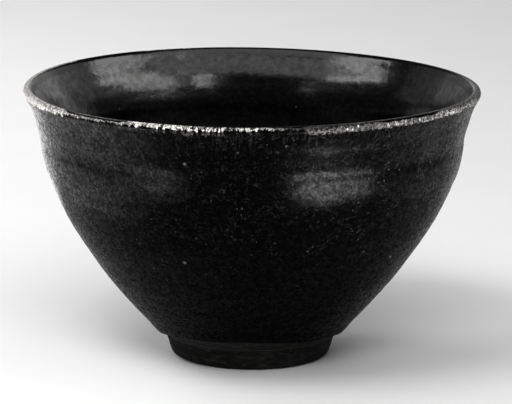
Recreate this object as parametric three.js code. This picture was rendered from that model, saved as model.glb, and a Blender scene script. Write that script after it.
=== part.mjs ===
// Tea bowl: a thrown stoneware body with a cut foot ring, under three coats of glaze.
// Millimetres, +Z up, the bowl's axis on Z, the foot standing on z = 0.
import * as THREE from 'three';

// Overall sizes, over the glaze
const RIM_RADIUS = 61;
const BOWL_HEIGHT = 73.6;

// Foot ring, cut from the clay
const FOOT_HEIGHT = 5.9;
const FOOT_TOP_RADIUS = 23;
const FOOT_TAPER = 1.7;
const FOOT_BEVEL = 2.5;
const BEVEL_HEIGHT = 1.8;
const FOOT_LAND = 3.6;
const RECESS_DEPTH = 2.8;
const RECESS_SLOPE = 0.9;
const RECESS_ROUND = 0.4;

// Clay wall, outside: a straight-sided cone below, a hollow neck and a flared lip above
const TRIM_ANGLE = 48;
const LOWER_REACH = 12.4;
const LIP_FLARE = 5.2;
const NECK_DROP = 14.7;
const NECK_ANGLE = 85;
const UPPER_REACH = 20.5;
const FLARE_REACH = 3.8;
const LIP_ANGLE = 60;
const LIP_REACH = 4.4;

// Clay wall, inside: the lip and the neck repeat the outside, the well is a shallow curve
const LIP_THICKNESS = 1.8;
const NECK_WALL = 2.7;
const INNER_NECK_DROP = 1.2;
const INNER_LIP_REACH = 3.4;
const INNER_FLARE_REACH = 3.8;
const FLOOR_THICKNESS = 7.8;
const WELL_RADIUS = 10;
const WELL_RISE = 0.9;
const WELL_ANGLE = 25;
const INNER_UPPER_REACH = 19;
const INNER_LOWER_REACH = 20;

// Glaze coats, measured square to the clay
const OUTER_COAT = 0.8;
const INNER_COAT = 0.8;
const LIP_COAT = 0.35;
const ROLL_COAT = 1.05;
const POOL_COAT = 1.5;
const THINNING_RUN = 7;
const ROLL_RUN = 5;
const POOL_RUN = 14;

// Where the coats end, as lengths along the clay's surface, and how far their edges wander
const BARE_BAND = 4.2;
const DRY_BAND_OUTSIDE = 2.2;
const DRY_BAND_INSIDE = 1.6;
const GLAZE_WANDER = 1.5;
const DRY_BAND_WANDER = 0.3;

// Each wave of a wandering edge: waves round the bowl, share of the wander, start angle in radians
const GLAZE_WAVE_SHARES = [[2, 1, -1.6], [3, 0.2, 2.1], [7, 0.2, 0]];
const OUTSIDE_WAVE_SHARES = [[3, 1, 1.2], [5, 0.7, 0]];
const INSIDE_WAVE_SHARES = [[2, 1, 0.4], [5, 0.6, 1.9]];

// The fat lower edge of the glaze: how far up its face each point lies, and how far it leans out
const BEAD_HEIGHT_SHARES = [0.45, 0.85];
const BEAD_LEAN_SHARE = 0.5;

// How finely the forms are divided
const ROUND_STEPS = 56;
const WALL_STEPS = 13;
const INSIDE_STEPS = 13;
const DRY_STEPS = 2;
const LIP_STEPS = 6;
const EDGE_STEPS = 3;
const BEVEL_STEPS = 3;

const rad = THREE.MathUtils.degToRad;
const along = (degrees) => new THREE.Vector2(Math.cos(rad(degrees)), Math.sin(rad(degrees)));
const smooth = (share) => THREE.MathUtils.smoothstep(share, 0, 1);

function bezier(start, startAngle, startReach, end, endAngle, endReach) {
  const leave = start.clone().addScaledVector(along(startAngle), startReach);
  const arrive = end.clone().addScaledVector(along(endAngle), -endReach);
  return new THREE.CubicBezierCurve(start, leave, arrive, end);
}

// The clay's surface from the foot, up the outside, over the lip and down to the middle of the well
function claySurface() {
  const lipRadius = LIP_THICKNESS / 2;
  const lipCentre = new THREE.Vector2(
    RIM_RADIUS - LIP_COAT - lipRadius, BOWL_HEIGHT - LIP_COAT - lipRadius);
  const footTop = new THREE.Vector2(FOOT_TOP_RADIUS, FOOT_HEIGHT);
  const neck = new THREE.Vector2(RIM_RADIUS - LIP_FLARE, BOWL_HEIGHT - NECK_DROP);
  const lipOutside = lipCentre.clone().addScaledVector(along(LIP_ANGLE - 90), lipRadius);
  const lipInside = lipCentre.clone().addScaledVector(along(LIP_ANGLE + 90), lipRadius);
  const innerNeck = new THREE.Vector2(neck.x - NECK_WALL, neck.y - INNER_NECK_DROP);
  const floor = RECESS_DEPTH + FLOOR_THICKNESS;
  const wellEdge = new THREE.Vector2(WELL_RADIUS, floor + WELL_RISE);
  const wellMiddle = new THREE.Vector2(0, floor);
  const wellControl = new THREE.Vector2(
    WELL_RADIUS - WELL_RISE / Math.tan(rad(WELL_ANGLE)), floor);

  const path = new THREE.CurvePath();
  path.add(bezier(footTop, TRIM_ANGLE, LOWER_REACH, neck, NECK_ANGLE, UPPER_REACH));
  path.add(bezier(neck, NECK_ANGLE, FLARE_REACH, lipOutside, LIP_ANGLE, LIP_REACH));
  path.add(new THREE.EllipseCurve(lipCentre.x, lipCentre.y, lipRadius, lipRadius,
    rad(LIP_ANGLE - 90), rad(LIP_ANGLE + 90)));
  path.add(bezier(lipInside, LIP_ANGLE + 180, INNER_LIP_REACH,
    innerNeck, NECK_ANGLE + 180, INNER_FLARE_REACH));
  path.add(bezier(innerNeck, NECK_ANGLE + 180, INNER_UPPER_REACH,
    wellEdge, WELL_ANGLE + 180, INNER_LOWER_REACH));
  path.add(new THREE.QuadraticBezierCurve(wellEdge, wellControl, wellMiddle));
  return path;
}

const clay = claySurface();
const clayLengths = clay.getCurveLengths();
const lipStart = clayLengths[1];
const lipEnd = clayLengths[2];
const wellMiddleStation = clay.getLength();

// Hand-run edges: each is a length along the clay, and wanders round the bowl
const wander = (turn, waves) => waves.reduce(
  (sum, [count, share, start]) => sum + share * Math.sin(count * turn + start), 0);
const glazeLine = (turn) => BARE_BAND + GLAZE_WANDER * wander(turn, GLAZE_WAVE_SHARES);
const dryLineOutside = (turn) => (
  lipStart - DRY_BAND_OUTSIDE + DRY_BAND_WANDER * wander(turn, OUTSIDE_WAVE_SHARES));
const dryLineInside = (turn) => (
  lipEnd + DRY_BAND_INSIDE + DRY_BAND_WANDER * wander(turn, INSIDE_WAVE_SHARES));

function clayPoint(station) {
  return clay.getPoint(station / wellMiddleStation);
}

function glazePoint(station, coat) {
  const tangent = clay.getTangent(station / wellMiddleStation);
  const outward = new THREE.Vector2(tangent.y, -tangent.x);
  const point = clayPoint(station).addScaledVector(outward, coat);
  return station === wellMiddleStation ? point.setX(0) : point;
}

// Coats: thick at the rolled edge and in the pool, thinning to the dry band at the lip
function outerCoat(station, turn) {
  const fromRoll = smooth((station - glazeLine(turn)) / ROLL_RUN);
  const fromLip = smooth((dryLineOutside(turn) - station) / THINNING_RUN);
  const wall = THREE.MathUtils.lerp(ROLL_COAT, OUTER_COAT, fromRoll);
  return THREE.MathUtils.lerp(LIP_COAT, wall, fromLip);
}

function innerCoat(station, turn) {
  const fromLip = smooth((station - dryLineInside(turn)) / THINNING_RUN);
  const fromWell = smooth((wellMiddleStation - station) / POOL_RUN);
  const wall = THREE.MathUtils.lerp(POOL_COAT, INNER_COAT, fromWell);
  return THREE.MathUtils.lerp(LIP_COAT, wall, fromLip);
}

function stations(from, to, steps) {
  return Array.from({ length: steps + 1 }, (_, step) => THREE.MathUtils.lerp(from, to, step / steps));
}

const wallStations = (turn) => stations(glazeLine(turn), dryLineOutside(turn), WALL_STEPS);
const insideStations = (turn) => stations(dryLineInside(turn), wellMiddleStation, INSIDE_STEPS);
const dryStations = (turn) => [
  ...stations(dryLineOutside(turn), lipStart, DRY_STEPS),
  ...stations(lipStart, lipEnd, LIP_STEPS).slice(1),
  ...stations(lipEnd, dryLineInside(turn), DRY_STEPS).slice(1),
];

const turnAt = (step) => step / ROUND_STEPS * 2 * Math.PI;

// A closed solid swept once round the axis, with an outline that may change as it goes round.
// An outline either closes on itself or starts and ends on the axis.
function turnedGeometry(outlineAt) {
  const outlines = Array.from({ length: ROUND_STEPS }, (_, step) => outlineAt(turnAt(step)));
  const onAxis = outlines[0].map((point) => point.x === 0);
  const rows = onAxis.length;

  const positions = [];
  const ringStarts = [];
  for (let row = 0; row < rows; row += 1) {
    ringStarts.push(positions.length / 3);
    for (let step = 0; step < (onAxis[row] ? 1 : ROUND_STEPS); step += 1) {
      const { x: radius, y: height } = outlines[step][row];
      positions.push(radius * Math.cos(turnAt(step)), radius * Math.sin(turnAt(step)), height);
    }
  }

  const vertex = (row, step) => ringStarts[row] + (onAxis[row] ? 0 : step % ROUND_STEPS);
  const triangles = [];
  const addTriangle = (a, b, c) => {
    if (a !== b && b !== c && c !== a) triangles.push(a, b, c);
  };
  for (let row = 0; row < (onAxis[0] ? rows - 1 : rows); row += 1) {
    const next = (row + 1) % rows;
    for (let step = 0; step < ROUND_STEPS; step += 1) {
      const here = vertex(row, step);
      const beside = vertex(row, step + 1);
      const onward = vertex(next, step);
      const across = vertex(next, step + 1);
      // The diagonal always starts from the lower edge, so that pieces that touch share their facets
      if (outlines[step][row].y < outlines[step][next].y) {
        addTriangle(here, beside, across);
        addTriangle(here, across, onward);
      } else {
        addTriangle(here, beside, onward);
        addTriangle(beside, across, onward);
      }
    }
  }
  const geometry = new THREE.BufferGeometry();
  geometry.setAttribute('position', new THREE.Float32BufferAttribute(positions, 3));
  geometry.setIndex(triangles);
  geometry.computeVertexNormals();
  return geometry;
}

// The foot's lower edge is rounded over, wider than it is high
function roundedFootEdge(baseRadius) {
  return Array.from({ length: BEVEL_STEPS + 1 }, (_, step) => {
    const angle = step / BEVEL_STEPS * Math.PI / 2;
    return new THREE.Vector2(
      baseRadius - FOOT_BEVEL * (1 - Math.sin(angle)), BEVEL_HEIGHT * (1 - Math.cos(angle)));
  });
}

// Foot: a shallow recess, a flat land to stand on, a rounded edge and a slightly tapered side
function footOutline() {
  const baseRadius = FOOT_TOP_RADIUS - FOOT_TAPER;
  const landInside = baseRadius - FOOT_BEVEL - FOOT_LAND;
  return [
    new THREE.Vector2(0, RECESS_DEPTH),
    new THREE.Vector2(landInside - RECESS_SLOPE - RECESS_ROUND, RECESS_DEPTH),
    new THREE.Vector2(landInside - RECESS_SLOPE, RECESS_DEPTH - RECESS_ROUND),
    new THREE.Vector2(landInside, 0),
    ...roundedFootEdge(baseRadius),
  ];
}

function bodyOutline(turn) {
  return [
    ...footOutline(),
    ...stations(0, glazeLine(turn), EDGE_STEPS).map(clayPoint),
    ...wallStations(turn).slice(1).map(clayPoint),
    ...dryStations(turn).slice(1).map(clayPoint),
    ...insideStations(turn).slice(1, -1).map(clayPoint),
    clayPoint(wellMiddleStation).setX(0),
  ];
}

function outerGlazeOutline(turn) {
  const under = wallStations(turn);
  const lift = under.slice(1).map((station) => glazePoint(station, outerCoat(station, turn)));
  const edge = rolledEdge(under[0], turn);
  return [...edge, ...lift, ...under.map(clayPoint).reverse()];
}

// The glaze's lower edge stops in a fat round bead that stands on the clay
function rolledEdge(station, turn) {
  const bead = outerCoat(station, turn);
  return BEAD_HEIGHT_SHARES.map((share) => {
    const lean = bead * BEAD_LEAN_SHARE * Math.sqrt(share * (1 - share));
    return glazePoint(station - lean, bead * share);
  });
}

function lipGlazeOutline(turn) {
  const under = dryStations(turn);
  const over = under.map((station) => glazePoint(station, LIP_COAT));
  return [...over, ...under.map(clayPoint).reverse()];
}

function innerGlazeOutline(turn) {
  const under = insideStations(turn);
  const over = under.map((station) => glazePoint(station, innerCoat(station, turn)));
  const beneath = under.slice(0, -1).map(clayPoint);
  return [clayPoint(wellMiddleStation).setX(0), ...beneath.reverse(), ...over];
}

function piece(name, outlineAt, color, roughness, metalness) {
  const material = new THREE.MeshStandardMaterial({ color, roughness, metalness });
  const mesh = new THREE.Mesh(turnedGeometry(outlineAt), material);
  mesh.name = name;
  return mesh;
}

const teaBowl = new THREE.Group();
teaBowl.add(
  piece('stoneware_body', bodyOutline, 0x2c2a28, 0.85, 0),
  piece('outer_glaze', outerGlazeOutline, 0x131211, 0.12, 0),
  piece('inner_glaze', innerGlazeOutline, 0x121110, 0.1, 0),
  piece('lip_glaze', lipGlazeOutline, 0xa7a29a, 0.6, 0),
);

export default teaBowl;
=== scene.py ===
import math

import bpy
import numpy as np
from mathutils import Matrix, Vector, noise


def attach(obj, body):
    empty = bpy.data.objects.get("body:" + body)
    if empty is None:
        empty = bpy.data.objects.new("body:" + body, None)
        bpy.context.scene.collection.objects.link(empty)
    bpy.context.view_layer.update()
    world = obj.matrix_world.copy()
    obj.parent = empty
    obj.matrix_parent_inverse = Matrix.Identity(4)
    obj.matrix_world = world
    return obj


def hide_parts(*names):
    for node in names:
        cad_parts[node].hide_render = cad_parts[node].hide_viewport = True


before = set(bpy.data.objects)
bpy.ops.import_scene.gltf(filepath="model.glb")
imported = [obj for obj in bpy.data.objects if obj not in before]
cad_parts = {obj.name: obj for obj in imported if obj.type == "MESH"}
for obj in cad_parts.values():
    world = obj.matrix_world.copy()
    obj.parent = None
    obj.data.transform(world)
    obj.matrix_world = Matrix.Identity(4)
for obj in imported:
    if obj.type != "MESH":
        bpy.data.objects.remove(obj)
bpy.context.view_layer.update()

MM = 0.001

# The bowl's sizes, as in the model of its solids
RIM_RADIUS = 61
BOWL_HEIGHT = 73.6
FOOT_HEIGHT = 5.9
FOOT_TOP_RADIUS = 23
FOOT_TAPER = 1.7
FOOT_BEVEL = 2.5
BEVEL_HEIGHT = 1.8
FOOT_LAND = 3.6
RECESS_DEPTH = 2.8
RECESS_SLOPE = 0.9
TRIM_ANGLE = 48
LOWER_REACH = 12.4
LIP_FLARE = 5.2
NECK_DROP = 14.7
NECK_ANGLE = 85
UPPER_REACH = 20.5
FLARE_REACH = 3.8
LIP_ANGLE = 60
LIP_REACH = 4.4
LIP_THICKNESS = 1.8
NECK_WALL = 2.7
INNER_NECK_DROP = 1.2
INNER_LIP_REACH = 3.4
INNER_FLARE_REACH = 3.8
FLOOR_THICKNESS = 7.8
WELL_RADIUS = 10
WELL_RISE = 0.9
WELL_ANGLE = 25
INNER_UPPER_REACH = 19
INNER_LOWER_REACH = 20
OUTER_COAT = 0.8
INNER_COAT = 0.8
LIP_COAT = 0.35
ROLL_COAT = 1.05
POOL_COAT = 1.5
THINNING_RUN = 7
ROLL_RUN = 5
POOL_RUN = 14
BARE_BAND = 4.2
DRY_BAND_OUTSIDE = 2.2
DRY_BAND_INSIDE = 1.6
GLAZE_WANDER = 1.5
DRY_BAND_WANDER = 0.3

# How each glaze edge wanders: waves round the bowl, share of the wander, and where the wave starts
GLAZE_WAVE_SHARES = [(2, 1, -1.6), (3, 0.2, 2.1), (7, 0.2, 0)]
OUTSIDE_WAVE_SHARES = [(3, 1, 1.2), (5, 0.7, 0)]
INSIDE_WAVE_SHARES = [(2, 1, 0.4), (5, 0.6, 1.9)]

# What the hand left: an uneven rim, rings from throwing, soft lumps in the glaze and a rough dry lip
RIM_SWAY = 0.3
RIM_SWAY_START = 90
SWAY_FROM_HEIGHT = 40
RING_SPACING = 4.1
RING_DEPTH = 0.014
RING_WOBBLE = 0.6
LUMP_SIZE = 15
LUMP_DEPTH = 0.09
DIMPLE_SIZE = 4
DIMPLE_DEPTH = 0.02
DRY_GRAIN = 0.6
DRY_DEPTH = 0.07

# A lean has a height, a spread up the wall and a shift to the right. A swell has a height and a share.
LEANS = [(52, 13, 0.22), (16, 9, -0.2)]
SWELL_SHARES = [
    (2.2, 0.013), (4.6, 0.002), (6, 0), (9, 0.0074), (14, 0.0136), (22, 0.012), (30, 0.004), (38, 0.0027),
    (44, 0.0006), (48, 0.0006), (52, 0.0061), (57, 0.006), (62, 0.0042), (64, 0.004)]
NECK_PINCH_SHARE = 0.008
PINCH_HEIGHT = 58.5
PINCH_SPREAD = 6
PINCH_TURN = -70
LAND_MARGIN = 0.05
LAND_FADE = 0.6
TRIM_SPACING = 0.55
TRIM_DEPTH = 0.035
TRIM_LEAD = 0.35
TRIM_WOBBLE_SIZE = 9
TRIM_DRAG_SIZE = 5
TEAR_SIZE = 1.1
TEAR_DEPTH = 0.09
RECESS_SAG = 0.35
BEAD_OVERHANG = 0.4

# How finely the curves and meshes are divided
CURVE_POINTS = 400
ARC_POINTS = 200
TURN_STEPS = 384
LIP_TURN_STEPS = 1024
COAT_ROWS = 150
WALL_ROWS = 40
LIP_COAT_ROWS = 36
LIP_ROWS = 14
BARE_BAND_ROWS = 22
BEAD_ROWS = 9
RECESS_ROWS = 34
BEVEL_ROWS = 8
FOOT_SIDE_ROWS = 16
SHARP_ANGLE = 50
ON_AXIS = 1e-6

# How dark and how reflective the skins are
BLACK_IOR = 1.02
BLACK_GLOSS_IOR = 1.12
BLACK_GLOSS_ROUGHNESS = 0.25
INNER_IOR = 1.37
INNER_GLOSS_ROUGHNESS = 0.18
LIP_INSIDE_IOR = 1.5
CLAY_IOR = 1.15
PAPER_IOR = 1.2
PAPER_LEVEL = 0.8

# The pale band of the lip, from its left end at -1 to its right end at 1, in shares of the rim's radius.
# The edges are in millimetres from the crest, below 0 outside, and the rest are shares.
BAND_LOWER_EDGE = [
    (-0.96, -2.0), (-0.82, -1.7), (-0.76, -1.3), (-0.5, -1.15), (-0.33, -1.2), (-0.27, -1.35),
    (-0.1, -1.2), (0.05, -1.05), (0.2, -0.95), (0.26, -2.5), (0.48, -2.2), (0.56, -2.1), (0.95, -2.0)]
BAND_UPPER_EDGE = [
    (-0.83, 0.2), (-0.77, -0.9), (-0.56, -0.9), (-0.5, 0.1), (-0.33, 0.1), (-0.2, -0.35), (0.05, -0.45),
    (0.2, -0.7), (0.26, -0.2), (0.48, -0.2), (0.56, -1.05), (0.77, -1.05), (0.82, -0.3)]
BAND_PALENESS = [
    (-1, 0.5), (-0.94, 0.6), (-0.88, 0.6), (-0.78, 0.5), (-0.56, 0.3), (-0.5, 1), (0.05, 0.8),
    (0.12, 0.25), (0.2, 0.07), (0.5, 0.07), (0.56, 0.24), (0.76, 0.24), (0.95, 0.17)]
BLOBBY_SHARE = [(-1, 0.1), (-0.88, 0.6), (-0.5, 0.7), (-0.3, 1), (0.05, 1), (0.2, 0.6), (0.26, 0), (1, 0)]
COMBED_SHARE = [(0.5, 0), (0.56, 1), (0.76, 1), (0.8, 0)]
NETTED_SHARE = [(0.2, 0), (0.26, 1), (0.5, 1), (0.56, 0), (0.76, 0), (0.8, 1)]
CREST_LINE_SHARE = [
    (-0.8, 0), (-0.74, 0.16), (-0.58, 0.1), (-0.52, 0), (0.2, 0), (0.3, 0.04), (0.5, 0.07), (0.95, 0.09)]
FRINGE_SHARE = [(-0.8, 0), (-0.52, 0.02), (-0.3, 0.06), (-0.05, 0.05), (0.05, 0)]

# The photograph's frame and where the bowl lies in it
PICTURE_WIDTH = 512
PICTURE_HEIGHT = 404
AXIS_PIXEL = 251.3
MIDDLE_PIXEL = 219.2
PIXELS_PER_MM = 3.7021
CAMERA_DISTANCE = 1000
CAMERA_ELEVATION = 12.34
CAMERA_ROLL = 0.4
SENSOR_WIDTH = 36
FARTHEST_SEEN = 50

# The studio. A fill only lights matt surfaces, and a window only shows in gloss. Each row gives a name,
# azimuth, elevation, distance from the bowl's mouth, width and height in degrees, and radiance.
FILLS = [
    ("key_left", -42, 58, 0.85, 30, 22, 8.4),
    ("fill_front", 5, 38, 1.0, 34, 22, 6.9),
    ("fill_left", -70, 12, 0.85, 40, 10, 6),
    ("fill_behind_left", -130, 28, 0.7, 30, 20, 8.6),
    ("fill_behind", -165, 20, 1.6, 60, 14, 5.4)]
WINDOWS = [
    ("window_right", 77, 33, 1.2, 54, 17, 4.0),
    ("window_right_pane", 33, 36, 1.2, 11, 10, 6.0),
    ("window_right_gap", 48.5, 44, 1.2, 4, 4, 4.5),
    ("window_left", -70, 39.3, 1.2, 38, 8, 5.6),
    ("window_left_pane", -35, 29, 1.2, 8, 5, 2.2),
    ("room_right", 114, 23, 1.3, 44, 16, 0.28),
    ("room_right_far", 134, 18, 1.3, 50, 22, 0.28),
    ("room_left", -124, 22, 1.3, 52, 20, 0.24),
    ("room_behind_right", 162, 12, 1.4, 60, 22, 0.45),
    ("room_behind_left", -160, 12, 1.4, 60, 22, 0.27)]

# Each card's name, azimuth, distance from the bowl's axis, width, depth and radiance, how far it is tipped
# towards the bowl, and the spread of its light
CARDS = [
    ("card_right", 30.5, 0.158, 0.053, 0.066, 67, 12, 140),
    ("card_right_far", 47.5, 0.1715, 0.049, 0.056, 58, 12, 140),
    ("card_right_wide", 84, 0.16, 0.11, 0.14, 1.8, 0, 180),
    ("card_behind_right", 128, 0.22, 0.16, 0.16, 0.6, 0, 180),
    ("card_left", -49, 0.19, 0.11, 0.09, 29, 0, 150),
    ("card_left_near", -68, 0.145, 0.12, 0.12, 3.2, 0, 180),
    ("card_left_wide", -88, 0.175, 0.16, 0.2, 2.8, 0, 180),
    ("card_behind_left", -145, 0.24, 0.2, 0.2, 3.2, 0, 180)]
CARD_HEIGHT = 0.003
CEILING_PLACE = Vector((0, -0.6, 1.27))
CEILING_WIDTH = 2.4
CEILING_DEPTH = 1.2
CEILING_RADIANCE = 1.42
AIR_RADIANCE = 0.03
FLOOR_REACH = 4.0
UP = Vector((0, 0, 1))


def heading(degrees):
    return np.array([math.cos(math.radians(degrees)), math.sin(math.radians(degrees))])


def smooth(share):
    share = np.clip(share, 0, 1)
    return share * share * (3 - 2 * share)


def mix(low, high, share):
    return low + (high - low) * share


def bezier(start, start_angle, start_reach, end, end_angle, end_reach):
    leave = start + start_reach * heading(start_angle)
    arrive = end - end_reach * heading(end_angle)
    t = np.linspace(0, 1, CURVE_POINTS)[:, None]
    left = 1 - t
    return left ** 3 * start + 3 * left ** 2 * t * leave + 3 * left * t ** 2 * arrive + t ** 3 * end


class ClaySurface:
    """The clay from the foot, up the outside, over the lip and down to the middle of the well.

    A station is a length along it. Radius and height come back for any array of stations.
    """

    def __init__(self):
        lip_radius = LIP_THICKNESS / 2
        lip_centre = np.array([RIM_RADIUS, BOWL_HEIGHT]) - LIP_COAT - lip_radius
        neck = np.array([RIM_RADIUS - LIP_FLARE, BOWL_HEIGHT - NECK_DROP])
        lip_outside = lip_centre + lip_radius * heading(LIP_ANGLE - 90)
        lip_inside = lip_centre + lip_radius * heading(LIP_ANGLE + 90)
        inner_neck = neck - [NECK_WALL, INNER_NECK_DROP]
        floor = RECESS_DEPTH + FLOOR_THICKNESS
        well_edge = np.array([WELL_RADIUS, floor + WELL_RISE])
        well_control = np.array([WELL_RADIUS - WELL_RISE / math.tan(math.radians(WELL_ANGLE)), floor])
        well_middle = np.array([0, floor])
        foot_top = np.array([FOOT_TOP_RADIUS, FOOT_HEIGHT])
        round_lip = [
            lip_centre + lip_radius * heading(angle)
            for angle in np.linspace(LIP_ANGLE - 90, LIP_ANGLE + 90, ARC_POINTS)]
        t = np.linspace(0, 1, ARC_POINTS)[:, None]
        well = (1 - t) ** 2 * well_edge + 2 * (1 - t) * t * well_control + t ** 2 * well_middle
        stretches = [
            bezier(foot_top, TRIM_ANGLE, LOWER_REACH, neck, NECK_ANGLE, UPPER_REACH),
            bezier(neck, NECK_ANGLE, FLARE_REACH, lip_outside, LIP_ANGLE, LIP_REACH),
            np.array(round_lip),
            bezier(
                lip_inside, LIP_ANGLE + 180, INNER_LIP_REACH,
                inner_neck, NECK_ANGLE + 180, INNER_FLARE_REACH),
            bezier(
                inner_neck, NECK_ANGLE + 180, INNER_UPPER_REACH,
                well_edge, WELL_ANGLE + 180, INNER_LOWER_REACH),
            well]
        points = np.vstack([stretches[0][:1]] + [s[1:] for s in stretches])
        steps = np.linalg.norm(np.diff(points, axis=0), axis=1)
        self.lengths = np.concatenate([[0], np.cumsum(steps)])
        self.points = points
        ends = np.cumsum([len(s) - 1 for s in stretches])
        self.lip_start = self.lengths[ends[1]]
        self.lip_end = self.lengths[ends[2]]
        self.crest = mix(self.lip_start, self.lip_end, (180 - LIP_ANGLE) / 180)
        self.end = self.lengths[-1]
        slope = np.gradient(points, self.lengths, axis=0)
        slope /= np.linalg.norm(slope, axis=1)[:, None]
        self.outward = np.stack([slope[:, 1], -slope[:, 0]], axis=1)

    def at(self, station, lift=0):
        """Radius and height at each station, lifted off the clay by so many millimetres."""
        radius, height, out, up = (
            np.interp(station, self.lengths, column)
            for column in (*self.points.T, *self.outward.T))
        radius = np.where(station >= self.end, 0, radius + lift * out)
        return radius, height + lift * up


clay = ClaySurface()


def wander(turn, waves):
    return sum(share * np.sin(count * turn + start) for count, share, start in waves)


def turns(steps):
    return np.arange(steps) / steps * 2 * math.pi


def glaze_line(turn):
    return BARE_BAND + GLAZE_WANDER * wander(turn, GLAZE_WAVE_SHARES)


def dry_line_outside(turn):
    return clay.lip_start - DRY_BAND_OUTSIDE + DRY_BAND_WANDER * wander(turn, OUTSIDE_WAVE_SHARES)


def dry_line_inside(turn):
    return clay.lip_end + DRY_BAND_INSIDE + DRY_BAND_WANDER * wander(turn, INSIDE_WAVE_SHARES)


def well_end(turn):
    return np.full_like(turn, clay.end)


def outer_coat(station, turn):
    wall = mix(ROLL_COAT, OUTER_COAT, smooth((station - glaze_line(turn)) / ROLL_RUN))
    return mix(LIP_COAT, wall, smooth((dry_line_outside(turn) - station) / THINNING_RUN))


def inner_coat(station, turn):
    wall = mix(POOL_COAT, INNER_COAT, smooth((clay.end - station) / POOL_RUN))
    return mix(LIP_COAT, wall, smooth((station - dry_line_inside(turn)) / THINNING_RUN))


def lip_coat(station, turn):
    return np.full_like(station, LIP_COAT)


def grain(points, size, octaves=1):
    """Soft noise between about -1 and 1 at each point, with features of that size."""
    scaled = points.reshape(-1, 3) / size
    values = (noise.fractal(Vector(p), 1.0, 2.0, octaves) for p in scaled)
    return np.fromiter(values, float, len(scaled)).reshape(points.shape[:-1])


def on_the_wheel(radius, height, turn):
    return np.stack([radius * np.cos(turn), radius * np.sin(turn), height + 0 * turn], axis=-1)


def glaze_relief(station, turn, points):
    """How far the glaze's face stands out past its even coat."""
    spiral = station / RING_SPACING + turn / (2 * math.pi)
    wobble = grain(points, 3 * LUMP_SIZE)
    rings = RING_DEPTH * np.sin(2 * math.pi * (spiral + RING_WOBBLE * wobble))
    lumps = LUMP_DEPTH * grain(points, LUMP_SIZE)
    dimples = DIMPLE_DEPTH * grain(points + LUMP_SIZE, DIMPLE_SIZE)
    from_edge = np.minimum(station - glaze_line(turn), clay.end - station)
    off_lip = smooth(np.abs(station - clay.crest) / LUMP_SIZE)
    return (rings + (lumps + dimples)) * off_lip * smooth(from_edge / ROLL_RUN)


def dry_relief(station, turn, points):
    """The dry lip's crust outside, which fades out on the crest and where the wet glaze begins."""
    edge = np.minimum(station - dry_line_outside(turn), clay.crest - station)
    crust = grain(points, DRY_GRAIN, 3) + 0.5 * grain(points + DRY_GRAIN, DRY_GRAIN / 2.5, 2)
    return DRY_DEPTH * crust * smooth(edge / DRY_BAND_OUTSIDE * 2)


def sway(points):
    """The bowl's uneven shape, as the wheel and the kiln left it.

    The rim rises and falls, the wall leans from side to side and swells, and the neck is pinched at the
    front.
    """
    height = points[..., 2]
    share = smooth((height - SWAY_FROM_HEIGHT) / (BOWL_HEIGHT - SWAY_FROM_HEIGHT))
    turn = np.arctan2(points[..., 1], points[..., 0])
    facing = np.maximum(np.cos(turn - math.radians(PINCH_TURN)), 0) ** 2
    pinch = NECK_PINCH_SHARE * facing * np.exp(-((height - PINCH_HEIGHT) / PINCH_SPREAD) ** 2)
    moved = points.copy()
    moved[..., 2] += RIM_SWAY * share * np.cos(2 * turn + math.radians(RIM_SWAY_START))
    swell = SWELL_SHARES[0][1] - pinch
    for (low, before), (high, after) in zip(SWELL_SHARES, SWELL_SHARES[1:]):
        swell += (after - before) * smooth((height - low) / (high - low))
    moved[..., :2] *= 1 + swell[..., None]
    for level, spread_up, lean in LEANS:
        moved[..., 0] += lean * np.exp(-((height - level) / spread_up) ** 2)
    return moved


def closed_piece(name, rows, steps, node):
    """Joins rows of points into one closed turned solid that replaces a CAD node.

    Each row is (points, stations) all the way round. The rows close on themselves, or start and end with
    rows on the axis. The mesh keeps where each point lay on the wheel, for its finish to read.
    """
    on_axis = [bool(np.abs(points[:, :2]).max() < ON_AXIS) for points, _ in rows]
    turn = turns(steps)
    places, wheel, starts = [], [], []
    for (points, stations), single in zip(rows, on_axis):
        starts.append(sum(len(p) for p in places))
        along = np.broadcast_to(stations, (steps,)) - clay.crest
        around = np.stack([RIM_RADIUS * np.cos(turn), RIM_RADIUS * np.sin(turn), along], axis=1)
        places.append(sway(points[:1] if single else points))
        wheel.append(around[:1] if single else around)

    def corner(row, step):
        return starts[row] if on_axis[row] else starts[row] + step % steps

    faces = []
    for row in range(len(rows) - (1 if on_axis[0] else 0)):
        after = (row + 1) % len(rows)
        for step in range(steps):
            loop = [
                corner(row, step), corner(row, step + 1),
                corner(after, step + 1), corner(after, step)]
            faces.append(list(dict.fromkeys(loop)))
    mesh = bpy.data.meshes.new(name)
    mesh.from_pydata((np.vstack(places) * MM).tolist(), [], [face for face in faces if len(face) > 2])
    spot = mesh.attributes.new("wheel", "FLOAT_VECTOR", "POINT")
    spot.data.foreach_set("vector", np.vstack(wheel).astype(np.float32).ravel())
    mesh.polygons.foreach_set("use_smooth", [True] * len(mesh.polygons))
    mesh.set_sharp_from_angle(angle=math.radians(SHARP_ANGLE))
    mesh.validate()
    piece = bpy.data.objects.new(name, mesh)
    bpy.context.scene.collection.objects.link(piece)
    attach(piece, "root")
    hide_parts(node)
    return piece


def spread(count, ease=0.0):
    """Shares from 0 to 1 for rows, closer together at both ends when ease is above zero."""
    share = np.linspace(0, 1, count)
    return mix(share, smooth(share), ease)


def skin_rows(first, last, count, coat, relief, steps, ease):
    """Rows of a coat's outer face, from one line round the bowl to another."""
    turn = turns(steps)
    rows = []
    for share in spread(count, ease):
        station = mix(first(turn), last(turn), share)
        lift = coat(station, turn)
        bare = on_the_wheel(*clay.at(station, lift), turn)
        raised = on_the_wheel(*clay.at(station, lift + relief(station, turn, bare)), turn)
        rows.append((raised, station))
    return rows


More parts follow.
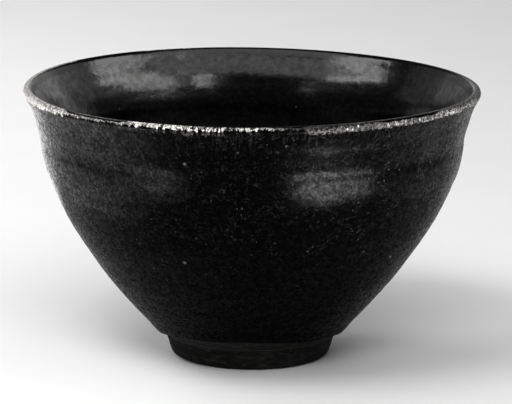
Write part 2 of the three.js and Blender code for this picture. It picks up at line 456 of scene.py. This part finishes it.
def under_rows(first, last, count, steps):
    """Rows on the clay itself, from one line round the bowl to another."""
    turn = turns(steps)
    rows = []
    for share in spread(count):
        station = mix(first(turn), last(turn), share)
        rows.append((on_the_wheel(*clay.at(station), turn), station))
    return rows


def bead_rows():
    """The outer glaze's lower edge: a fat round bead standing on the clay."""
    turn = turns(TURN_STEPS)
    line = glaze_line(turn)
    coat = outer_coat(line, turn)
    rows = []
    for angle in np.linspace(-90, 90, BEAD_ROWS)[1:-1]:
        out, up = heading(angle)
        station = line - BEAD_OVERHANG * coat * out
        rows.append((on_the_wheel(*clay.at(station, coat / 2 * (1 + up)), turn), station))
    return rows


def make_outer_glaze():
    skin = skin_rows(
        glaze_line, dry_line_outside, COAT_ROWS, outer_coat, glaze_relief, TURN_STEPS, ease=0.5)
    under = under_rows(dry_line_outside, glaze_line, WALL_ROWS, TURN_STEPS)
    return closed_piece("outer_glaze_coat", bead_rows() + skin + under, TURN_STEPS, "outer_glaze")


def make_inner_glaze():
    skin = skin_rows(
        dry_line_inside, well_end, COAT_ROWS, inner_coat, glaze_relief, TURN_STEPS, ease=0.3)
    under = under_rows(well_end, dry_line_inside, WALL_ROWS, TURN_STEPS)
    return closed_piece("inner_glaze_coat", under + skin, TURN_STEPS, "inner_glaze")


def make_lip_glaze():
    skin = skin_rows(
        dry_line_outside, dry_line_inside, LIP_COAT_ROWS, lip_coat, dry_relief, LIP_TURN_STEPS, ease=0)
    under = under_rows(dry_line_inside, dry_line_outside, LIP_ROWS, LIP_TURN_STEPS)
    return closed_piece("dry_lip_glaze", skin + under, LIP_TURN_STEPS, "lip_glaze")


def foot_outline():
    """Radius and height from the middle of the recess out to the top of the foot's side."""
    base = FOOT_TOP_RADIUS - FOOT_TAPER
    land_outside = base - FOOT_BEVEL
    land_inside = land_outside - FOOT_LAND
    recess = land_inside - RECESS_SLOPE
    floor = [
        (radius, RECESS_DEPTH - RECESS_SAG * (1 - radius / recess))
        for radius in np.linspace(0, recess - 0.5, RECESS_ROWS)]

    # The recess's wall has a soft corner at its top and another where it meets the land
    wall = [
        (recess - 0.12, RECESS_DEPTH - 0.2), (recess + 0.1, RECESS_DEPTH - 0.7),
        (land_inside - 0.25, 0.35)]
    land = [(land_inside, 0.06), (land_inside + 0.3, 0), (mix(land_inside, land_outside, 0.5), 0)]
    bevel = [
        (base - FOOT_BEVEL * (1 - math.sin(a)), BEVEL_HEIGHT * (1 - math.cos(a)))
        for a in np.linspace(0, math.pi / 2, BEVEL_ROWS)]
    side = [
        (mix(base, FOOT_TOP_RADIUS, share), mix(BEVEL_HEIGHT, FOOT_HEIGHT, share))
        for share in np.linspace(0, 1, FOOT_SIDE_ROWS)[1:-1]]
    return floor + wall + land + bevel + side


def trim_relief(radius, height, turn, points):
    """Fine rings cut by the trimming tool, and the pits that it tore, none of them on the land."""
    spiral = radius + height + TRIM_LEAD * turn / (2 * math.pi)
    wobble = grain(points, TRIM_WOBBLE_SIZE)
    rings = TRIM_DEPTH * np.sin(2 * math.pi * spiral / TRIM_SPACING + 2 * wobble)
    drag = 0.5 + 0.5 * grain(points, TRIM_DRAG_SIZE)
    torn = TEAR_DEPTH * grain(points, TEAR_SIZE, 3)
    off_land = smooth((height - LAND_MARGIN) / LAND_FADE)
    return (rings * drag + torn) * off_land


def make_body():
    turn = turns(TURN_STEPS)
    rows = []
    for radius, height in foot_outline():
        bare = on_the_wheel(radius, height, turn)
        lift = 0 if radius == 0 else trim_relief(radius, height, turn, bare)
        rows.append((on_the_wheel(radius + lift, height, turn), -radius))
    for share in spread(BARE_BAND_ROWS):
        station = glaze_line(turn) * share
        radius, height = clay.at(station)
        bare = on_the_wheel(radius, height, turn)
        lift = trim_relief(radius, height, turn, bare) * smooth((1 - share) * 4)
        rows.append((on_the_wheel(*clay.at(station, lift), turn), station))
    rows += under_rows(glaze_line, dry_line_outside, WALL_ROWS, TURN_STEPS)[1:]
    rows += under_rows(dry_line_outside, dry_line_inside, LIP_ROWS, TURN_STEPS)[1:]
    rows += under_rows(dry_line_inside, well_end, WALL_ROWS, TURN_STEPS)[1:]
    return closed_piece("thrown_body", rows, TURN_STEPS, "stoneware_body")


class Value:
    """A socket of a finish that sums can be written with."""

    def __init__(self, finish, socket):
        self.finish = finish
        self.socket = socket

    def sum(self, operation, *others):
        return self.finish.node("ShaderNodeMath", {"operation": operation}, dict(enumerate(others)))

    def __add__(self, other):
        return self.sum("ADD", self, other)

    def __sub__(self, other):
        return self.sum("SUBTRACT", self, other)

    def __mul__(self, other):
        return self.sum("MULTIPLY", self, other)

    def __truediv__(self, other):
        return self.sum("DIVIDE", self, other)

    def __rsub__(self, other):
        return self.sum("SUBTRACT", other, self)

    __radd__ = __add__
    __rmul__ = __mul__

    def rise(self, low, high):
        """0 below low, 1 above high, and a soft step between them."""
        return self.finish.node(
            "ShaderNodeMapRange", {"interpolation_type": "SMOOTHSTEP"},
            {"Value": self, "From Min": low, "From Max": high}, "Result")

    def through(self, steps):
        """A value that goes smoothly through each (place, value) pair."""
        total = steps[0][1]
        for (start, low), (end, high) in zip(steps, steps[1:]):
            if high != low:
                total = total + self.rise(start, end) * (high - low)
        return total

    def between(self, low, high, soft):
        """1 between two places and 0 beyond them."""
        past_high = self.rise(high - soft / 2, high + soft / 2)
        return self.rise(low - soft / 2, low + soft / 2) * (1 - past_high)

    def larger(self, other):
        return self.sum("MAXIMUM", self, other)

    def beside(self, output):
        """Another output of the same node."""
        return Value(self.finish, self.socket.node.outputs[output])


class Finish:
    """A material, with the coordinates that all the bowl's finishes share."""

    def __init__(self, name):
        self.material = bpy.data.materials.new(name)
        self.material.use_nodes = True
        self.tree = self.material.node_tree
        self.tree.nodes.clear()
        metres = self.node("ShaderNodeTexCoord", {}, {}, "Object")
        in_mm = {0: metres, "Scale": 1 / MM}
        self.place = self.node("ShaderNodeVectorMath", {"operation": "SCALE"}, in_mm, "Vector")
        self.wheel = self.node("ShaderNodeAttribute", {"attribute_name": "wheel"}, {}, "Vector")
        self.across = self.node("ShaderNodeSeparateXYZ", {}, {0: self.wheel}, "X")
        self.along = self.across.beside("Z")

    def node(self, kind, settings, inputs, output=0):
        """Adds a node: its settings first, then the values or links of its sockets."""
        node = self.tree.nodes.new(kind)
        for name, setting in settings.items():
            setattr(node, name, setting)
        for name, value in inputs.items():
            if isinstance(value, Value):
                self.tree.links.new(value.socket, node.inputs[name])
            else:
                node.inputs[name].default_value = value
        return None if output is None else Value(self, node.outputs[output])

    def scaled(self, vector, x, y, z):
        """The coordinates times so much each way, which stretches a texture where it is below 1."""
        inputs = {0: vector, 1: (x, y, z)}
        return self.node("ShaderNodeVectorMath", {"operation": "MULTIPLY"}, inputs, "Vector")

    def clouds(self, size, detail=2.0, where=None, rough=0.5):
        """Noise around 0.5 with features of that many millimetres."""
        inputs = {"Vector": where or self.place, "Scale": 1 / size, "Detail": detail, "Roughness": rough}
        return self.node("ShaderNodeTexNoise", {}, inputs)

    def spots(self, spacing, size, share, where=None):
        """Round spots of that size on a loose grid, kept only at a share of its places."""
        inputs = {"Vector": where or self.place, "Scale": 1 / spacing}
        distance = self.node("ShaderNodeTexVoronoi", {}, inputs, "Distance")
        pick = self.node("ShaderNodeSeparateColor", {}, {0: distance.beside("Color")})
        round_spot = 1 - (distance * spacing / size).rise(0.6, 1.1)
        return round_spot * (1 - pick.rise(share - 0.01, share + 0.01))

    def net(self, size, width, where=None):
        """Thin lines of that width between cells of that size."""
        inputs = {"Vector": where or self.place, "Scale": 1 / size}
        edge = self.node("ShaderNodeTexVoronoi", {"feature": "DISTANCE_TO_EDGE"}, inputs, "Distance")
        return 1 - (edge * size).rise(width * 0.3, width * 0.8)

    def blend(self, mask, under, over):
        """A colour that goes from one to the other as the mask goes from 0 to 1."""
        return self.node(
            "ShaderNodeMix", {"data_type": "RGBA"},
            {0: mask, 6: colour(under), 7: colour(over)}, 2)

    def bump(self, height, depth):
        """A bump whose height is in millimetres when depth is 1."""
        inputs = {"Height": height, "Distance": depth * MM, "Strength": 1.0}
        return self.node("ShaderNodeBump", {}, inputs)

    def shader(
            self, base_colour, roughness, normal, ior, gloss=0.0, gloss_ior=1.5, gloss_roughness=0.2):
        """A surface with a glossy skin over it, which shows as much as gloss says."""
        inputs = {
            "Base Color": base_colour, "Roughness": roughness, "Normal": normal, "IOR": ior,
            "Coat Weight": gloss, "Coat Roughness": gloss_roughness, "Coat IOR": gloss_ior,
            "Coat Normal": normal}
        return self.node("ShaderNodeBsdfPrincipled", {}, inputs)

    def done(self, shader):
        self.node("ShaderNodeOutputMaterial", {}, {"Surface": shader}, None)
        return self.material


def colour(value):
    return value if isinstance(value, Value) else (*value, 1.0)


def grey(level, warmth=0.03):
    """A near-neutral colour, a trace warmer than grey."""
    return (level * (1 + warmth), level, level * (1 - warmth))


def black_glaze(finish):
    """Black glaze, finely grained and flecked, with short pale runs below the lip and a pebbled face.

    It comes back as its colour, the height of its face and how much of its skin shines.
    """
    grains = finish.clouds(0.7, 2.0, rough=0.6)
    mottle = finish.clouds(1.6, 3.0, rough=0.6)
    drift = finish.clouds(6, 3.0)
    streaks = finish.clouds(0.6, 2.0, finish.scaled(finish.wheel, 1, 1, 0.16))
    specks = finish.spots(1.3, 0.26, 0.3)
    dots = finish.spots(2.9, 0.4, 0.2)
    drops = finish.spots(9.0, 0.65, 0.25)
    # Fewer pale flecks towards the foot: painted shade, which darkens the lower wall
    thin = 0.12 + finish.along.rise(-75, -12) * 0.88
    patchy = 0.2 + drift.rise(0.35, 0.65) * 0.8
    flecked = (grains * 0.6 + mottle * 0.4).rise(0.51, 0.7) * patchy * thin
    deep = finish.blend(flecked, grey(0.0001), grey(0.010))
    near_lip = finish.along.rise(-9, -3)
    furred = finish.blend(near_lip * streaks.rise(0.52, 0.75) * 0.2, deep, grey(0.02))
    sparks = (specks * 0.6).larger(dots * 0.6) * drift.rise(0.42, 0.6)
    speckled = finish.blend(sparks, furred, grey(0.035))
    dotted = finish.blend(drops * 0.7, speckled, grey(0.1))
    peel = mottle * 0.5 + finish.clouds(2.2, 1.0) * 1.4 - (dots + drops) * 0.4
    grit = finish.clouds(0.65, 2.0, rough=0.6).rise(0.46, 0.68)
    duller_below = 0.7 + finish.along.rise(-82, -45) * 0.3
    sheen = (0.22 + grit * 0.6 + mottle.rise(0.42, 0.62) * 0.25) * duller_below
    return dotted, peel, sheen


def black_skin(finish, base, roughness, normal, sheen):
    return finish.shader(
        base, roughness, normal, BLACK_IOR, sheen, BLACK_GLOSS_IOR, BLACK_GLOSS_ROUGHNESS)


def outer_glaze_finish():
    finish = Finish("outer_black_glaze")
    base, peel, sheen = black_glaze(finish)
    return finish.done(black_skin(finish, base, 0.4, finish.bump(peel, 0.05), sheen))


def inner_glaze_finish():
    """The black glaze inside, smoother and glossier, with an uneven shine and few dots."""
    finish = Finish("inner_black_glaze")
    mottle = finish.clouds(0.9, 3.0, rough=0.6)
    drift = finish.clouds(4, 3.0)
    dots = finish.spots(3.1, 0.36, 0.1)
    deep = finish.blend((mottle + drift * 0.3).rise(0.6, 0.9), grey(0.0005), grey(0.003))
    dotted = finish.blend(dots, deep, grey(0.03))
    peel = finish.clouds(3.4, 2.0) * 2 + finish.clouds(1.6, 2.0) + mottle * 0.3
    normal = finish.bump(peel, 0.03)
    uneven = finish.clouds(1.8, 3.0, rough=0.6).rise(0.36, 0.64)
    sheen = 0.3 + uneven * 0.7
    return finish.done(finish.shader(
        dotted, 0.16 + drift * 0.05, normal, INNER_IOR, sheen, INNER_IOR, INNER_GLOSS_ROUGHNESS))


def dry_glaze_finish():
    """The lip: black glaze under an ash-pale crust, which changes as it goes from left to right.

    It is wide and soft at the left end, then two thin lines, a bright broken line at the front, a dim net
    of burst bubbles, a comb of short strokes below a thin line, and the net again at the right end.
    """
    finish = Finish("dry_pale_glaze")
    side = finish.across / RIM_RADIUS
    ragged = finish.clouds(0.9, 3.0, finish.scaled(finish.wheel, 1, 1, 0.6), rough=0.6)
    strokes = finish.clouds(0.3, 3.0, finish.scaled(finish.wheel, 1, 1, 0.3), rough=0.7)
    crumbs = finish.clouds(0.45, 2.0, finish.wheel)
    blobs = finish.clouds(1.1, 2.0, finish.scaled(finish.wheel, 1, 1, 0.7))
    net = finish.net(0.95, 0.22, finish.wheel)
    jog = (ragged - 0.5) * 1.9

    # The main band: where it starts and ends, how pale it is, and what it is made of
    lowest = side.through(BAND_LOWER_EDGE)
    highest = side.through(BAND_UPPER_EDGE)
    combed = side.through(COMBED_SHARE)
    netted = side.through(NETTED_SHARE)
    above_lowest = (finish.along + jog - lowest).rise(0, 0.3)
    below_highest = 1 - (finish.along + jog * 0.4 - highest).rise(0, 0.25)
    band = above_lowest * below_highest
    broken = 1 - side.through(BLOBBY_SHARE) * (1 - (blobs * 0.5 + crumbs * 0.5).rise(0.42, 0.56))
    comb = strokes.rise(0.4, 0.62) * (0.4 + blobs.rise(0.4, 0.6) * 0.9)
    threads = net * (0.5 + crumbs) * 0.88
    made_of = broken * (1 - combed * (1 - comb)) * (1 - netted * (0.88 - threads))

    # A thin line along the crest, a dim fringe below the bright line, and a few white beads
    on_crest = finish.along.between(-0.4, 0.05, 0.15)
    line = on_crest * (0.2 + crumbs * 1.4) * side.through(CREST_LINE_SHARE)
    at_edge = (finish.along - lowest).between(-1.1, 0.3, 0.8)
    fringe = at_edge * ragged.rise(0.48, 0.62) * side.through(FRINGE_SHARE)
    beads = finish.spots(1.4, 0.28, 0.35, finish.wheel) * band * netted * side.rise(0.28, 0.36)
    crust = band * made_of * side.through(BAND_PALENESS)
    shown = crust.larger(line).larger(fringe).larger(beads * 0.55)

    ash = finish.blend(crumbs.rise(0.35, 0.65), grey(0.28), grey(0.8))
    glaze, peel, sheen = black_glaze(finish)
    base = finish.blend(shown, glaze, ash)
    normal = finish.bump(peel * 0.6 + shown, 0.08)
    outside = black_skin(finish, base, 0.4 + shown * 0.3, normal, sheen * (1 - shown))
    inside = finish.shader(base, 0.18 + shown * 0.5, normal, LIP_INSIDE_IOR)
    past_crest = finish.along.rise(-0.1, 0.5) * (1 - shown)
    return finish.done(finish.node("ShaderNodeMixShader", {}, {0: past_crest, 1: outside, 2: inside}))


def bare_clay_finish():
    """Iron-dark stoneware, matt, with turning lines, grit and small pits, and paler above the foot."""
    finish = Finish("bare_dark_clay")
    station = finish.along + clay.crest
    lines = finish.clouds(0.35, 3.0, finish.scaled(finish.wheel, 0.05, 0.05, 1))
    stains = finish.clouds(7, 3.0)
    grit = finish.clouds(0.5, 3.0)
    pits = finish.spots(1.6, 0.3, 0.35)
    side = finish.blend(stains.rise(0.35, 0.65), grey(0.004, 0.08), grey(0.008, 0.06))
    wall = finish.blend(station.rise(-0.1, 0.2), side, grey(0.008, 0.06))
    # The pale turning lines are wear. The two pale lines where the foot meets the wall and on the band
    # above it are painted highlights, broken up by grit.
    painted_highlights = station.between(-0.25, 0.35, 0.3) + station.between(2.6, 3.1, 0.4) * 0.6
    wear_and_highlights = (lines.rise(0.48, 0.7) * 0.6).larger(painted_highlights * grit.rise(0.35, 0.55))
    scraped_and_highlit = finish.blend(wear_and_highlights, wall, grey(0.03, 0.05))
    pitted = finish.blend(pits, scraped_and_highlit, grey(0.0015))
    normal = finish.bump(lines * 0.5 + grit - pits * 1.5, 0.1)
    return finish.done(finish.shader(pitted, 0.62 + grit * 0.3, normal, CLAY_IOR))


def paper_finish():
    """The paper that the bowl stands on, barely mottled."""
    finish = Finish("pale_paper")
    mottle = finish.clouds(45, 3.0)
    base = finish.blend(mottle.rise(0.3, 0.7), grey(PAPER_LEVEL * 0.985, 0), grey(PAPER_LEVEL, 0))
    normal = finish.bump(finish.clouds(1.2, 2.0), 0.02)
    return finish.done(finish.shader(base, 0.9, normal, PAPER_IOR))


def direction(azimuth, elevation):
    """Azimuth 0 points towards the camera's side, and positive azimuth to its right."""
    turn = math.radians(azimuth)
    tilt = math.radians(elevation)
    level = math.cos(tilt)
    return Vector((math.sin(turn) * level, -math.cos(turn) * level, math.sin(tilt)))


def lamp(name, place, aim, width, height, radiance, lights=True, mirrored=True, spread=180):
    """A flat soft lamp with a rounded face that the camera never sees. Its power follows from its radiance.

    It can be kept from lighting matt surfaces, or from showing in glossy ones. A spread below 180 hides
    its face from low angles, as a grid over it would.
    """
    light = bpy.data.lights.new(name, "AREA")
    light.shape = "ELLIPSE"
    light.size = width
    light.size_y = height
    light.spread = math.radians(spread)
    light.energy = radiance * math.pi * (width / 2 * height / 2 * math.pi)
    holder = bpy.data.objects.new(name, light)
    holder.location = place
    holder.rotation_euler = (place - aim).to_track_quat("Z", "Y").to_euler()
    holder.visible_camera = False
    holder.visible_diffuse = lights
    holder.visible_glossy = mirrored
    bpy.context.scene.collection.objects.link(holder)
    return holder


def window(name, azimuth, elevation, distance, width, height, radiance, mirrored=True):
    """A lamp whose size is in degrees, as seen from the bowl. It shows in gloss, or else gives light."""
    bowl = Vector((0, 0, BOWL_HEIGHT * MM))
    place = bowl + distance * direction(azimuth, elevation)
    across, tall = (2 * distance * math.tan(math.radians(size / 2)) for size in (width, height))
    lamp(name, place, bowl, across, tall, radiance, not mirrored, mirrored)


def card(name, azimuth, distance, width, depth, radiance, tip, spread):
    """A bright card on the table beside the bowl, out of the picture, facing up or tipped to the bowl."""
    tip = math.radians(tip)
    place = distance * direction(azimuth, 0) + (CARD_HEIGHT + depth / 2 * math.sin(tip)) * UP
    holder = lamp(name, place, place + UP, width, depth, radiance, spread=spread)
    holder.rotation_euler.rotate(Matrix.Rotation(-tip, 3, direction(azimuth + 90, 0)))


def light_the_studio():
    lamp("ceiling", CEILING_PLACE, CEILING_PLACE - UP, CEILING_WIDTH, CEILING_DEPTH, CEILING_RADIANCE)
    for fill in FILLS:
        window(*fill, mirrored=False)
    for pane in WINDOWS:
        window(*pane)
    for sheet in CARDS:
        card(*sheet)
    world = bpy.data.worlds.new("studio_air")
    bpy.context.scene.world = world
    world.use_nodes = True
    air = world.node_tree.nodes["Background"]
    air.inputs["Color"].default_value = (1, 1, 1, 1)
    air.inputs["Strength"].default_value = AIR_RADIANCE


def lay_floor():
    corners = [(x * FLOOR_REACH, y * FLOOR_REACH, 0) for x, y in ((-1, -1), (1, -1), (1, 1), (-1, 1))]
    mesh = bpy.data.meshes.new("pale_floor")
    mesh.from_pydata(corners, [], [(0, 1, 2, 3)])
    mesh.materials.append(paper_finish())
    floor = bpy.data.objects.new("pale_floor", mesh)
    bpy.context.scene.collection.objects.link(floor)


def place_camera():
    """A long lens, set so that the bowl's axis and middle fall on their pixels."""
    lens = bpy.data.cameras.new("camera")
    lens.sensor_width = SENSOR_WIDTH
    lens.lens = SENSOR_WIDTH * CAMERA_DISTANCE * PIXELS_PER_MM / PICTURE_WIDTH
    lens.clip_end = FARTHEST_SEEN
    camera = bpy.data.objects.new("camera", lens)
    away = direction(0, CAMERA_ELEVATION)
    middle = Vector((0, 0, BOWL_HEIGHT / 2))
    right = Vector((1, 0, 0))
    up = away.cross(right)
    off_right = (PICTURE_WIDTH / 2 - AXIS_PIXEL) / PIXELS_PER_MM
    off_up = (MIDDLE_PIXEL - PICTURE_HEIGHT / 2) / PIXELS_PER_MM
    place = middle + away * CAMERA_DISTANCE
    look = middle + right * off_right + up * off_up - place
    turned = look.to_track_quat("-Z", "Y").to_matrix()
    roll = Matrix.Rotation(math.radians(CAMERA_ROLL), 3, "Z")
    camera.rotation_euler = (turned @ roll).to_euler()
    camera.location = place * MM
    bpy.context.scene.collection.objects.link(camera)
    bpy.context.scene.camera = camera


def dress(piece, material):
    piece.data.materials.append(material)


dress(make_outer_glaze(), outer_glaze_finish())
dress(make_inner_glaze(), inner_glaze_finish())
dress(make_lip_glaze(), dry_glaze_finish())
dress(make_body(), bare_clay_finish())

lay_floor()
light_the_studio()
place_camera()
bpy.context.scene.view_settings.view_transform = "Standard"
